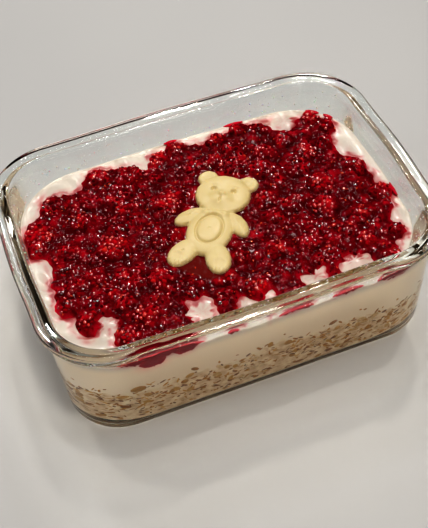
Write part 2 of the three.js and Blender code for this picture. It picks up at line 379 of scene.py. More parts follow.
def roundedProfile(corners):
    # Each corner becomes a quadratic curve that starts and ends its rounding away.
    points = np.array([c[:2] for c in corners], float)
    rounds = np.array([c[2] for c in corners], float)
    t = np.linspace(0, 1, glass["roundingSteps"])[:, None]
    path = [points[:1]]
    for i in range(1, len(points) - 1):
        before, after = points[i - 1] - points[i], points[i + 1] - points[i]
        start = points[i] + before / np.linalg.norm(before) * min(rounds[i], np.linalg.norm(before) / 2)
        end = points[i] + after / np.linalg.norm(after) * min(rounds[i], np.linalg.norm(after) / 2)
        path.append((1 - t) ** 2 * start + 2 * t * (1 - t) * points[i] + t * t * end)
    path.append(points[-1:])
    return np.concatenate(path)


footTop = glass["foot"][0][1]


def makeGlass():
    # The outside section carried round the box, then the inner wall and its foot.
    stations = stationsRound(*dish["glassSteps"])
    outer = roundedProfile(glass["outside"])
    upper = np.linspace(dish["lip"], dish["food"], 8)[1:]
    lower = np.linspace(dish["food"], footTop, 6)[1:-1]
    wall = [(0.0, z) for z in np.r_[upper, lower]]
    rings = [flatRing(outlineAt(stations, inset, z), z) for inset, z in outer]
    for inward, z in np.concatenate([wall, roundedProfile(glass["foot"])]):
        share = 1 if inward < glass["farIn"] else glass["middle"]
        rings.append(flatRing(innerAt(stations, z, np.minimum(inward, glass["farIn"])) * share, z))
    shape = closedRings(np.stack(rings), outer[0, 1], rings[-1][0, 2])
    piece = makePiece("glassBox", shape, glassMaterial())
    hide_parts("glass_dish")


oats = {
    "level": 29.5, "tilt": -0.02, "wave": 1.3, "wavelength": 46.0,  # the broad slope and waves
    "lump": 0.9, "lumpLength": 9.0,  # flakes heaped along the top
    "crumb": 0.5, "crumbLength": 3.4,
    "press": 0.2, "sag": 0.14,  # how far they reach into the wall and the glass floor
    # the top edge by the wall: share of the way up, and reach into the wall
    "edge": [(0.95, 0.17), (0.98, 0.1), (1.0, -0.1), (1.03, -0.6)],
    "core": (0.97, 0.9, 0.8, 0.6, 0.35), "coreDrop": 2.0,  # the hidden top's rings and depth
    "creamDepth": 4.5, "creamShare": 0.75, "creamWave": 1.2,  # yogurt soaked in from above
    "mash": [(0.30, (0.52, 0.35, 0.18)), (0.43, (0.68, 0.49, 0.30)),
             (0.54, (0.79, 0.62, 0.42)), (0.72, (0.90, 0.77, 0.57))],
    "husk": (0.46, 0.25, 0.085), "cream": (0.86, 0.75, 0.57),
}


def oatsMaterial():
    material, tree, shader = newMaterial("soakedOats")
    setInputs(shader, Roughness=0.42, Coat_Weight=0.25, Coat_Roughness=0.2)
    broad = addNoise(tree, 190, 4.0, 0.55, (1, 1, 1.5))
    husk = addNoise(tree, 330, 2.0, 0.5, (0.6, 0.6, 1.5), (0.35, 0.5, 0))
    spots = addRamp(tree, husk, [(0.62, (0, 0, 0)), (0.72, (0.8, 0.8, 0.8))])
    mixed = addMix(tree, spots, addRamp(tree, broad, oats["mash"]), oats["husk"])
    paint(tree, shader, addMix(tree, addAttribute(tree, "creamy"), mixed, oats["cream"]))
    setInputs(shader, Subsurface_Weight=0.12, Subsurface_Scale=0.002, Subsurface_Radius=(1.0, 0.7, 0.4))
    addBump(tree, shader, broad, 0.25, 0.0006)
    return material


def oatsTop(x, y):
    # A slope along the box, two long crossing waves, and lumps and crumbs on them.
    k = 2 * math.pi / oats["wavelength"]
    waves = np.sin(k * x + 0.8) + np.cos(k * 0.8 * y + k * 0.4 * x)
    lumps = oats["lump"] * ripple(x, y, oats["lumpLength"], 11)
    crumbs = oats["crumb"] * ripple(x, y, oats["crumbLength"], 12)
    return oats["level"] + oats["tilt"] * x + oats["wave"] * waves + (lumps + crumbs)


def wallRing(low, share, press):
    # A ring pressed into the wall, at a share of the way from a low level to the oats' top.
    guess = innerAt(foodStations, oats["level"], 0)
    z = low + (oatsTop(guess[:, 0], guess[:, 1]) - low) * share
    return np.c_[innerAt(foodStations, z, -press), z]


def makeOats():
    # The foot's section, rings up the wall to the wavy top, and a plain hidden top.
    foot = roundedProfile(glass["foot"])[::-1]
    rings = []
    for inward, z in foot[1:-1]:
        rings.append(flatRing(innerAt(foodStations, z, inward - oats["press"]), z - oats["sag"]))
    rings += [wallRing(footTop, share, oats["press"]) for share in np.linspace(0, 0.9, 12)]
    rings += [wallRing(footTop, share, press) for share, press in oats["edge"]]
    edge = rings[-1]
    coreZ = oats["level"] - oats["coreDrop"]
    rings = np.stack(rings + [flatRing(edge[:, :2] * share, coreZ) for share in oats["core"]])
    x, y, z = np.moveaxis(rings, -1, 0)
    depth = edge[None, :, 2] - z + oats["creamWave"] * ripple(x + z, y, 6, 13)
    creamy = withEnds(oats["creamShare"] * (1 - smoothStep(depth / oats["creamDepth"])))
    shape = closedRings(rings, foot[0, 1] - oats["sag"], coreZ)
    piece = makePiece("soakedOats", shape, oatsMaterial(), {"creamy": creamy})
    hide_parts("oats_layer")


def wallPoints(along, z, push):
    # Points and outward normals on the inner wall: along is 0 to 1 round the box.
    length = lengthsRound(innerAt(foodStations, oats["level"], 0))
    place = np.interp(along * length[-1], length, np.arange(len(length)))
    index = np.floor(place).astype(int) % len(foodStations)
    part = (place - np.floor(place))[:, None]
    station = foodStations[index] * (1 - part) + foodStations[(index + 1) % len(foodStations)] * part
    station[:, 2:4] = unitRows(station[:, 2:4])
    slope = (dish["mouthInset"] - dish["heelInset"]) / (dish["food"] - dish["heel"])
    return np.c_[innerAt(station, z, -push), z], np.c_[station[:, 2:4], 0 * z + slope]


bran = {
    "count": 1900, "long": (0.4, 2.1), "wide": (0.2, 0.75), "thick": 0.1, "lift": 0.24, "seed": 5,
    "stray": 0.04,  # share that lies above the oats, in the yogurt
    "tones": [(0.0, (0.13, 0.035, 0.002)), (0.3, (0.33, 0.12, 0.006)), (0.7, (0.52, 0.22, 0.02)),
              (1.0, (0.68, 0.38, 0.08))],
    "dark": (0.75, 0.72, 0.7), "grain": 900, "rough": 0.45, "coat": 0.0,
}
flake = {
    "count": 240, "long": (1.4, 3.0), "wide": (1.0, 2.0), "thick": 0.12, "lift": 0.2, "seed": 6,
    # large flakes that stand out on the front wall: x, height, half length, half width
    "placed": [(-66, 31, 4.2, 2.4), (-27, 21, 2.7, 2.9), (38, 19, 3.0, 2.8), (-8, 20, 1.8, 1.6),
               (5, 32, 2.2, 1.5), (-38, 33, 2.4, 1.3), (37, 32, 2.6, 1.4), (-80, 24, 2.4, 1.5)],
    "tones": [(0.0, (0.34, 0.13, 0.010)), (0.4, (0.58, 0.32, 0.07)), (1.0, (0.88, 0.72, 0.50))],
    "dark": (0.72, 0.7, 0.66), "grain": 700, "rough": 0.4, "coat": 0.2,
}
fleckBed = {
    "low": 5.4, "high": 0.98,  # lowest level, and highest share of the way to the oats' top
    "strayRise": (0.5, 8),
    "footTaper": 0.075,  # how far the rounded foot draws flecks in for each millimetre down
    "spin": 0.6,  # spread of their directions about level
}


def fleckMaterial(name, settings):
    material, tree, shader = newMaterial(name)
    setInputs(shader, Roughness=settings["rough"], Coat_Weight=settings["coat"], Coat_Roughness=0.2)
    paintGrains(tree, shader, settings, 3.0)
    return material


def makeFlecks(name, settings):
    # Flat grains on the glass side of the oats, most lying along the layer.
    rng = np.random.default_rng(settings["seed"])
    n = settings["count"]
    along = rng.uniform(0, 1, n)
    share = rng.uniform(0, 1, n) ** 0.9
    probe, _ = wallPoints(along, np.full(n, oats["level"]), 0)
    top = oatsTop(probe[:, 0], probe[:, 1])
    z = fleckBed["low"] + (top - fleckBed["low"]) * share * fleckBed["high"]
    stray = rng.uniform(0, 1, n) < settings.get("stray", 0)
    z = np.where(stray, top + rng.uniform(*fleckBed["strayRise"], n) * rng.uniform(0.2, 1, n), z)
    inset = fleckBed["footTaper"] * np.clip(dish["heel"] - z, 0, None)
    long, wide = rng.uniform(*settings["long"], n), rng.uniform(*settings["wide"], n)
    for px, height, halfLong, halfWide in settings.get("placed", []):
        near = np.argmin(np.where(probe[:, 1] < 0, np.abs(probe[:, 0] - px), np.inf))
        z[near], long[near], wide[near] = height, halfLong, halfWide
    centres, normals = wallPoints(along, z, settings["lift"])
    centres[:, :2] -= normals[:, :2] * inset[:, None]
    axes = turnsTo(unitRows(normals), rng.normal(0, fleckBed["spin"], n))
    sizes = np.stack([long, wide, np.full(n, settings["thick"])], 1)
    scatterPiece(name, unitBall(9, 4), centres, sizes, axes, fleckMaterial(name, settings),
                 {"tone": rng.uniform(0, 1, n)})


compoteEdge = [
    # Clockwise from the lump on the left wall: x, y.
    (-96, 14), (-96.5, 22), (-95.5, 29), (-93, 35), (-89, 40), (-84.5, 42), (-82, 46), (-79, 50),
    (-75, 52.5), (-70, 53), (-66, 53.5), (-62, 52), (-57.5, 53), (-56, 57), (-52, 61), (-46, 63.5),
    (-41, 62.5), (-35, 61), (-29, 58), (-24, 56.5), (-20, 53), (-17.5, 56), (-15, 61), (-9, 62.5),
    (-5, 64.5), (0, 67.5), (3, 65), (8, 62.5), (13, 62), (16, 58.5), (20, 61), (23, 64), (29, 61.5),
    (33, 65.5), (37, 67.5), (41, 64.5), (48, 62), (54, 60), (57, 54), (63, 51), (67, 52.5), (70, 57.5),
    (75, 57), (80, 58.5), (82.5, 53), (88, 49), (89, 42), (88, 36.5), (84, 35.5), (82.5, 28),
    (82.5, 21), (88, 16.5), (91, 11), (90, 3), (92.5, -1.5), (90.5, -6.5), (94.5, -11), (95.5, -16),
    (91.5, -22), (91, -27.5), (87, -31), (86, -36), (88.5, -42), (86, -47.5), (81, -50), (79.5, -56),
    (78, -66.5), (64, -67), (62, -58), (62.5, -50), (57.5, -51), (53.5, -48), (52, -51), (47, -52.5),
    (48, -60), (45, -65.5), (40, -65), (38, -58), (39, -49.5), (34.5, -53), (31.5, -53), (27, -50),
    (28.5, -58), (25, -65), (13, -65), (10.5, -57), (8.5, -52.5), (6, -57), (4, -64.5), (0.5, -64),
    (-1, -56), (-5.5, -52), (-8.5, -57), (-11, -64.5), (-19, -65), (-20.5, -56), (-20, -48),
    (-21.5, -44), (-26, -46.5), (-30.5, -44), (-29.5, -48.5), (-32.5, -50.5), (-29.5, -54), (-31, -60),
    (-34, -67.5), (-50, -68), (-68, -67.5), (-71.5, -57), (-71.5, -50), (-69, -45), (-66.5, -41),
    (-71.5, -37), (-73.5, -41), (-77, -44.5), (-82, -45), (-86, -41), (-87, -36), (-86, -31.5),
    (-90.5, -29), (-92.5, -23), (-91, -17), (-90.5, -11), (-91, -7), (-88.5, -2), (-87, 5), (-89.5, 11),
]
stars = [(-26, -52, 7), (-71, -41, 5), (33, -53, 6), (55, -52, 7), (8.5, -56, 3), (-5, -56, 4), (63, 56, 6)]
stains = [
    # pink washes of juice on the yogurt: x, y, half length, half width, turn in degrees, strength
    (-78.5, 54, 5, 1.8, 42, 0.75), (-67, 55.5, 6, 1.2, 5, 0.35), (-31, 60.5, 7, 1.8, -10, 0.6),
    (-22, 57.5, 4, 1.5, -30, 0.5), (-12, 63.5, 4, 1.2, 20, 0.5), (12, 63, 5, 1.5, -10, 0.6),
    (54, 61.5, 6, 2.6, 12, 0.9), (59, 53.5, 3, 1.6, -50, 0.6), (86, 20, 4.5, 2.2, 70, 0.3),
    (83.5, 27, 2, 4, 0, 0.18), (91, 5, 1.4, 4, 0, 0.3), (-90.5, -8, 2, 9, 0, 0.6),
    (-88.5, 4, 1.5, 8, 0, 0.5), (-91.5, -29, 3, 2, 0, 0.6), (-83, -47, 3, 2.2, -30, 0.6),
    (-88, -36, 1.5, 5, 0, 0.45), (-71, -46, 2.5, 6, 10, 0.35), (79, -53, 2, 4, 0, 0.9),
    (84, -49.5, 4, 1.5, 10, 0.4), (88, -33, 2, 3, 0, 0.35), (55, -55, 7, 4, 0, 0.3),
    (-26, -52, 5, 6, 0, 0.12),
]
frill = {
    "wave": 0.4, "waveLength": 5.5, "nick": 0.08, "nickLength": 2.6, "width": 6,  # along the edge
    "rays": 9, "starReach": 1.5, "swell": 0.08, "cut": 0.34,  # how a star cuts into the compote
}


def smoothLoop(corners, steps):
    # A Catmull-Rom curve through the corners, closed.
    p = np.array(corners, float)
    before, after, later = np.roll(p, 1, 0), np.roll(p, -1, 0), np.roll(p, -2, 0)
    t = (np.arange(steps) / steps)[None, :, None]
    p, before, after, later = p[:, None], before[:, None], after[:, None], later[:, None]
    curve = 2 * p + (after - before) * t + (2 * before - 5 * p + 4 * after - later) * t ** 2
    return (0.5 * (curve + (3 * p - before - 3 * after + later) * t ** 3)).reshape(-1, 2)


edgeCurve = smoothLoop(compoteEdge, 3)


def edgeDistance(x, y):
    # Signed distance to the edge curve: the least over its segments, plus inside by the
    # count of crossings of a line drawn in x.
    tiny = 1e-9
    nearest = np.full(x.shape, 1e9)
    inside = np.zeros(x.shape, bool)
    for (ax, ay), (bx, by) in zip(edgeCurve, np.roll(edgeCurve, -1, 0)):
        dx, dy = bx - ax, by - ay
        t = np.clip(((x - ax) * dx + (y - ay) * dy) / (dx * dx + dy * dy + tiny), 0, 1)
        nearest = np.minimum(nearest, (x - ax - t * dx) ** 2 + (y - ay - t * dy) ** 2)
        inside ^= ((ay > y) != (by > y)) & (x < ax + (y - ay) * dx / (dy if dy else tiny))
    return np.where(inside, 1, -1) * np.sqrt(nearest)


def rays(x, y, star):
    # Sharp rays about a star's middle, each 0 to 1, and how near its middle a point is.
    px, py, radius = star
    angle = np.arctan2(y - py, x - px)
    reach = np.clip(frill["starReach"] - np.hypot(x - px, y - py) / radius, 0, 1)
    return (0.5 + 0.5 * np.cos(frill["rays"] * angle + px + 0.8 * np.sin(2 * angle))) ** 2, reach


def coverAt(x, y):
    # How far a point lies inside the compote's edge, with small waves near the edge; where
    # yogurt breaks through it pushes sharp rays into the compote.
    cover = edgeDistance(x, y)
    waves = frill["wave"] * ripple(x, y, frill["waveLength"], 21)
    ragged = waves + frill["nick"] * ripple(x, y, frill["nickLength"], 22)
    cover = cover + ragged * smoothStep((frill["width"] - np.abs(cover)) / frill["width"])
    for star in stars:
        ray, reach = rays(x, y, star)
        cover = cover + star[2] * reach * (frill["swell"] - frill["cut"] * ray)
    return cover


smear = {
    "low": (53.0, 53.5), "high": 54.4,  # levels of juice wherever the compote meets the glass
    "leftEnd": -90,  # no film of juice on the wall farther left than this
    "touch": -0.7, "spare": 1.2,  # cover that counts as touching, and how far films run past it
    "press": 0.27,  # how far it stands into the wall
    "deep": [
        # x, y, half length, lowest and highest level, lean
        (-51, -67, 19, 53.9, 56.2, 0.01), (-57, -67, 7, 46.6, 55, 0.05), (-39.5, -67, 6, 50, 55.2, 0.16),
        (-49, -67, 8, 51.6, 54.6, 0.08), (-66, -67, 7, 52.4, 53.6, 0.03), (43, -67, 8, 53.6, 54.8, 0.04),
        (15, -67, 8, 53.8, 54.8, 0.05), (68, -67, 9, 53.4, 56.2, 0.08), (72, -67, 5.5, 51.8, 53.4, 0.12),
    ],
    "halo": 0.75, "haloPast": (1.5, 1.6),  # pink of the yogurt round the deep ones
    "seed": 51,
}
yogurt = {
    "creep": 0.5, "creepWidth": 3.5,  # it climbs the wall by this, over this width
    "swirl": 0.35, "swirlLength": 16.0,
    "bottom": 20.0, "underside": 4.0,  # hidden core: lowest level, and depth under the food's level
    "sink": 4.0, "sinkWidth": 5.0,  # under the compote it sinks out of the way
    "bleedWidth": 2.6, "starBleed": 0.36,  # juice drawn in round the compote
    "cream": [(0.3, (0.545, 0.49, 0.425)), (0.7, (0.605, 0.55, 0.483))],
    "paintedSideLight": (0.845, 0.71, 0.55),  # lighter, warmer colour of the side by the glass, painted light for the warm light that falls there
    "pinks": [(0.0, (1, 1, 1)), (0.35, (0.98, 0.80, 0.82)), (0.7, (0.88, 0.42, 0.45)),
              (1.0, (0.60, 0.08, 0.10))],
}


def yogurtMaterial():
    material, tree, shader = newMaterial("creamyYogurt")
    setInputs(shader, Roughness=0.36, Coat_Weight=0.15, Coat_Roughness=0.15)
    cream = addRamp(tree, addNoise(tree, 60, 3.0), yogurt["cream"])
    # Below the top the yogurt takes a lighter, warmer colour: painted light for the warm light on its side.
    creamAndPaintedSideLight = addMix(tree, addAttribute(tree, "deep"), cream, yogurt["paintedSideLight"])
    paint(tree, shader, addMix(tree, 1.0, creamAndPaintedSideLight, addRamp(tree, "bleed", yogurt["pinks"]), "MULTIPLY"))
    setInputs(shader, Subsurface_Weight=0.2, Subsurface_Scale=0.003, Subsurface_Radius=(1.0, 0.8, 0.55))
    addBump(tree, shader, addNoise(tree, 420, 3.0), 0.12, 0.0006)
    return material


def yogurtTop(x, y, wallGap):
    # Level, a climb that dies away from the wall, and low swirls.
    climb = yogurt["creep"] * np.exp(-wallGap / yogurt["creepWidth"] * 2.2)
    return dish["food"] + climb + yogurt["swirl"] * ripple(x, y, yogurt["swirlLength"], 31, 6)


def yogurtRings():
    # Hidden core, rings up the wall, and rings in from the wall over the top; also where
    # the rings over the top start.
    core = wallRing(yogurt["bottom"], 0.0, dish["wet"])
    rings = [flatRing(core[:, :2] * 0.5, yogurt["bottom"]), core]
    rings.append(wallRing(yogurt["bottom"], 0.5, dish["wet"]))
    for z in np.linspace(oats["level"], dish["food"] + yogurt["creep"], 16):
        rings.append(flatRing(innerAt(foodStations, z, -dish["wet"]), z))
    topStart = len(rings)
    farIn = glass["farIn"]
    for gap in np.concatenate([[0.15], np.arange(0.6, farIn, 0.7), [33, 37]]):
        xy = innerAt(foodStations, dish["food"], np.minimum(gap, farIn)) * (1 - max(0, gap - farIn) / 90)
        rings.append(np.c_[xy, yogurtTop(xy[:, 0], xy[:, 1], gap)])
    rings.append(flatRing(rings[-1][:, :2] * 0.6, dish["food"] - yogurt["underside"]))
    return np.stack(rings), topStart


def juiceOnTop(x, y, cover):
    # Pink beyond the compote's edge in patches, the washes, and the stars' rims.
    patchy = smoothStep(0.55 + 0.5 * ripple(x, y, 17, 34))
    fade = 1 - smoothStep(-cover / yogurt["bleedWidth"] + 0.2 * ripple(x, y, 4, 33))
    fade = fade * (0.3 + 0.7 * patchy)
    for px, py, long, wide, turn, strength in stains:
        u, v = turned(x, y, px, py, turn)
        fade = np.maximum(fade, strength * np.exp(-((u / long) ** 2 + (v / wide) ** 2) ** 1.2))
    for star in stars:
        ray, reach = rays(x, y, star)
        fade = np.maximum(fade, yogurt["starBleed"] * (1 - ray) * reach)
    return fade


def juiceOnWall(x, y, z):
    # Pink round each deep smear, fading with the distance from its leaning middle line.
    halo = 0 * x
    for px, py, half, low, high, lean in smear["deep"]:
        u = (x - px) / (half + smear["haloPast"][0])
        v = (z - (low + high) / 2 - lean * (x - px)) / ((high - low) / 2 + smear["haloPast"][1])
        halo = np.maximum(halo, smear["halo"] * np.exp(-(u * u + v * v) ** 1.3) * (np.abs(y - py) < 9))
    return halo


def makeYogurt():
    # The rings, sunk under the compote, with how pink each point is and how much of the side's painted
    # light it takes.
    rings, topStart = yogurtRings()
    x, y, z = np.moveaxis(rings, -1, 0)
    cover = coverAt(x, y)
    onTop = z > dish["food"] - 2
    onTop[:topStart] = False
    z -= np.where(onTop, smoothStep((cover - 1.0) / yogurt["sinkWidth"]) * yogurt["sink"], 0)
    fade = juiceOnTop(x, y, cover)
    depth = smoothStep((z - dish["food"] + 6) / 5)
    bleed = withEnds(np.where(onTop, fade, np.maximum(0.35 * depth * fade, juiceOnWall(x, y, z))))
    # deep is 1 well below the food's level, where the side's painted light colour shows.
    deep = withEnds(smoothStep((dish["food"] + 1 - z) / 7), first=1)
    shape = closedRings(rings, yogurt["bottom"], dish["food"] - yogurt["underside"])
    piece = makePiece("creamyYogurt", shape, yogurtMaterial(), {"bleed": bleed, "deep": deep})
    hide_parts("yogurt_layer")


bear = {
    "centre": (0.0, 0.4), "turn": 53.5, "base": 50.4, "thickness": 7.0,
    "headY": 18.6, "head": 14.7, "bodyY": -7.3, "body": 12.0, "length": 16.8,
    "headTall": 0.94,  # the head's height against its width
    "ears": (0.74, 0.72, 5.8, 0.9),  # x and y as shares of the head, radius, drop under the top
    # x and y from the body's middle, half width, half length, turn in degrees, drop
    "arms": (13.0, 7.3, 4.8, 8.9, 42, 0.5), "legs": (9.2, -17.1, 6.6, 10.0, 24, 0.3),
    "join": 1.6,  # softness of the outline where parts meet
    "wobble": 0.12, "wobbleLength": 2.6,  # unevenness of the moulded edge
    "swell": 1.6, "swellWidth": 2.4, "crease": 0.2,  # how each part rounds up, and meets the next
    "step": 0.38, "edge": 1.3, "grid": (24, 38, 39),  # mesh step, rounding, reach across, down and up
    # relief as x, y, half width, half length and rise; what is off the middle has a twin
    "faceRelief": [
        # muzzle, nose and mouth
        (0, -4.2, 5.6, 4.4, 1.3), (0, -2.0, 2.0, 1.4, 1.1), (0, -6.0, 0.6, 1.6, -0.9),
        # eye, brow and inner ear
        (5.3, 1.9, 1.25, 1.45, -1.5), (5.6, 4.9, 2.0, 0.5, -0.4), (11.466, 11.172, 3.0, 3.0, -0.9),
        # knot of the bow at the neck, its loop and the hollow of the loop
        (0, -14.406, 1.6, 1.6, 0.75), (4.2, -14.406, 2.9, 2.3, 0.85), (4.2, -14.406, 1.2, 0.9, -0.45),
    ],
    "footRelief": [
        # three toe grooves and the pad
        (9.7, -25.0, 0.45, 1.5, -0.45), (11.6, -25.0, 0.45, 1.5, -0.45), (14.3, -25.0, 0.45, 1.5, -0.45),
        (11.2, -20.9, 2.8, 2.8, -0.7),
    ],
    "belly": (6.8, 9.6), "bellyGroove": (0.95, 0.08), "bellyRise": 0.35,  # half axes, depth and width
    "ivory": [(0.3, (0.68, 0.55, 0.265)), (0.7, (0.74, 0.61, 0.325))],
}


def chocolateMaterial():
    material, tree, shader = newMaterial("whiteChocolate")
    setInputs(shader, Subsurface_Weight=0.25, Subsurface_Scale=0.003, Subsurface_Radius=(1.0, 0.75, 0.35))
    paint(tree, shader, addRamp(tree, addNoise(tree, 70, 4.0), bear["ivory"]))
    addBump(tree, shader, addNoise(tree, 900, 3.0), 0.1, 0.0004)
    rough = addRamp(tree, addNoise(tree, 200, 2.0), [(0.3, (0.36, 0.36, 0.36)), (0.7, (0.52, 0.52, 0.52))])
    tree.links.new(rough, shader.inputs["Roughness"])
    return material


def bearParts():
    # Pads as x, y, half width, half length, turn in degrees, and drop under the top.
    headY, bodyY, head = bear["headY"], bear["bodyY"], bear["head"]
    parts = [(0, headY, head, head * bear["headTall"], 0, 0.0)]
    parts.append((0, bodyY, bear["body"], bear["length"], 0, 0.2))
    for side in (-1, 1):
        x, y, radius, drop = bear["ears"]
        parts.append((side * head * x, headY + head * y, radius, radius, 0, drop))
        for x, y, across, along, turn, drop in (bear["arms"], bear["legs"]):
            parts.append((side * x, bodyY + y, across, along, side * turn, drop))
    return parts


def padDepth(x, y, part):
    # Distance inside an ellipse, about right near its edge.
    px, py, across, along, turn, _ = part
    u, v = turned(x, y, px, py, turn)
    r = np.sqrt((u / across) ** 2 + (v / along) ** 2)
    gradient = np.sqrt((u / across ** 2) ** 2 + (v / along ** 2) ** 2) + 1e-9
    return (1 - r) * np.maximum(r, 0.05) / gradient


def bearDepth(x, y):
    # Distance inside the outline: the greatest of the pads', blended, with a wobble.
    depth = None
    for part in bearParts():
        own = padDepth(x, y, part)
        depth = own if depth is None else smoothMax(depth, own, bear["join"])
    return depth + bear["wobble"] * ripple(x, y, bear["wobbleLength"], 91, 5)


def bump(x, y, px, py, across, along):
    # A soft round bump of height 1.
    return np.exp(-(((x - px) / across) ** 2 + ((y - py) / along) ** 2) ** 1.5)


def bearHeight(x, y):
    # Each pad swells to its own height; the highest shows, blended at the creases, and the
    # belly's ring and the relief are added.
    top = None
    for part in bearParts():
        own = padDepth(x, y, part)
        fall = bear["swell"] * np.exp(-np.clip(own, 0, None) / bear["swellWidth"])
        height = bear["thickness"] - part[5] - fall - 2.5 * np.clip(-own, 0, 2)
        top = height if top is None else smoothMax(top, height, bear["crease"])
    ring = np.sqrt((x / bear["belly"][0]) ** 2 + ((y - bear["bodyY"]) / bear["belly"][1]) ** 2)
    deep, width = bear["bellyGroove"]
    top = top - deep * np.exp(-((ring - 1) / width) ** 2) + bear["bellyRise"] * smoothStep((1 - ring) * 3)
    for middle, relief in ((bear["headY"], bear["faceRelief"]), (bear["bodyY"], bear["footRelief"])):
        for px, py, across, along, rise in relief:
            for side in (-1, 1) if px else (1,):
                top = top + rise * bump(x, y, side * px, middle + py, across, along)
    return top


def makeBear():
    # A grid over the outline, its rim points moved on to the outline, closed below.
    step = bear["step"]
    across, down, up = bear["grid"]
    x, y = np.meshgrid(np.arange(-across, across, step), np.arange(-down, up, step))
    depth = bearDepth(x, y)
    slopeY, slopeX = np.gradient(depth, step)
    size = np.hypot(slopeX, slopeY) + 1e-6
    near = np.abs(depth / size) < step * 0.55
    for _ in range(3):
        depth = bearDepth(x, y)
        x = np.where(near, x - depth * slopeX / size ** 2, x)
        y = np.where(near, y - depth * slopeY / size ** 2, y)
    # Whole squares inside the outline, and half squares where three corners are inside.
    inside = ((depth > 0) | near).ravel()
    quads = gridFaces(*x.shape, False)
    kept = inside[quads]
    whole = quads[kept.all(1)]
    three = quads[kept.sum(1) == 3]
    order = np.argsort(~inside[three], axis=1, kind="stable")[:, :3]
    order.sort(axis=1)
    halves = np.take_along_axis(three, order, axis=1)
    faces = np.concatenate([whole[:, [0, 1, 2]], whole[:, [0, 2, 3]], halves])
    # The edges that only one face has are the border, which the side wall hangs from.
    edges = np.concatenate([faces[:, [0, 1]], faces[:, [1, 2]], faces[:, [2, 0]]])
    _, first, count = np.unique(edges.min(1) * x.size + edges.max(1), return_index=True, return_counts=True)
    border = edges[first[count == 1]]
    rimDepth = np.clip(np.where(near, 0, bearDepth(x, y)), 0, bear["edge"])
    fall = bear["edge"] - np.sqrt(bear["edge"] ** 2 - (bear["edge"] - rimDepth) ** 2)
    z = bearHeight(x, y) - fall
    u, v = turned(x, y, 0, 0, 90 - bear["turn"])
    u, v = bear["centre"][0] + u, bear["centre"][1] + v
    top, bottom = (np.stack([u, v, bear["base"] + high], -1).reshape(-1, 3) for high in (z, 0 * z))
    sides = np.stack([border[:, 1], border[:, 0], border[:, 0] + x.size, border[:, 1] + x.size], 1)
    triangles = np.concatenate([faces, faces[:, ::-1] + x.size])
    used = np.unique(triangles)
    lookup = np.zeros(2 * x.size, int)
    lookup[used] = np.arange(len(used))
    shape = (np.concatenate([top, bottom])[used], lookup[sides], lookup[triangles])
    piece = makePiece("chocolateBear", shape, chocolateMaterial())
    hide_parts("chocolate_bear")


def nearBear(x, y):
    # Distance inside the bear's outline, from places in the box.
    return bearDepth(*turned(x, y, *bear["centre"], bear["turn"] - 90))


compote = {
    "rise": 1.0, "depth": 7.5,  # jelly between the berries above the yogurt, and all below
    "berrySpacing": 13.0, "berryRadius": (5.4, 9.2), "berryHeight": (1.6, 3.4), "berryShare": 0.9,
    "wrinkle": 0.14, "wrinkleLength": 4.2, "wave": 0.35, "waveLength": 19.0, "seed": 41,
    "pebble": 0.75, "pebblePitch": 4.6, "pebbleCells": 64,  # height and spacing of the small lumps
    "pool": (-19, -24, 17, 7, -52),  # x, y, half length, half width and turn in degrees
    "edgeWidth": 3.6, "edgeDrop": 2.2,  # the edge rounds down over this width to this depth
    "thinWidth": 4.0,  # light red where the jelly is thin
    "wallGap": 0.8, "reach": (100, 70),  # of the jelly to the glass, and of the berries' grid
    "calmGap": 0.5, "calmWidth": 4.5, "calmShare": 0.12,  # how relief fades beside the bear
    "columns": 330, "rows": 236,
    # colours from deep juice to raised pulp; the raised end is also painted light on the lumps' tops, the
    # deep end painted shade in the hollows
    "reds": [(0.34, (0.088, 0.0002, 0.003)), (0.48, (0.15, 0.0008, 0.006)),
             (0.60, (0.26, 0.0025, 0.011)), (0.76, (0.52, 0.007, 0.018))],
    "thinRed": (0.62, 0.006, 0.034), "poolRed": (0.155, 0.012, 0.010),
}
brightBerries = [
    # the berries that stand out: x, y, radius, height, brightness
    (-86, 27, 8, 3.0, 0.8), (-75, 10, 6.5, 2.2, 0.55), (-53, 4, 10, 2.6, 0.95), (-62, 27, 7, 2.6, 0.6),
    (-46, 56, 7, 2.6, 0.7), (-17, 22, 9, 2.6, 0.8), (-12, 56, 7, 2.6, 0.8), (22, 57, 6.5, 2.4, 0.6),
    (43, 37, 6.5, 2.4, 0.6), (78, 52, 6, 2.8, 0.75), (84, 43, 5.5, 2.6, 0.6), (64, 28, 6.5, 2.6, 0.75),
    (84, 6, 7, 2.8, 0.6), (62, 3, 8, 2.6, 0.7), (43, -5, 6, 2.4, 0.6), (57, -13, 8, 2.8, 0.65),
    (88, -15, 6.5, 2.8, 0.5), (30, -9, 6, 2.4, 0.6), (-78, -37, 7, 2.8, 0.65),
    (-86, -24, 6.5, 2.6, 0.6), (-52, -44, 7.5, 2.8, 0.8), (-38, -25, 7.5, 2.4, 0.8),
    (-8, -37, 7, 2.4, 0.65), (5, -50, 7.5, 2.8, 0.8), (22, -31, 6, 2.4, 0.65), (50, -36, 6, 2.2, 0.55),
    (66, -42, 5.5, 2.6, 0.95), (71, -25, 7, 2.6, 0.55), (84, -42, 5, 2.8, 0.5), (74, -57, 6, 2.6, 0.6),
    (-64, -52, 7, 2.6, 0.6), (0, 60, 6, 2.8, 0.5), (37, 60, 6, 2.8, 0.6), (-90, 18, 5.5, 2.6, 0.5),
]


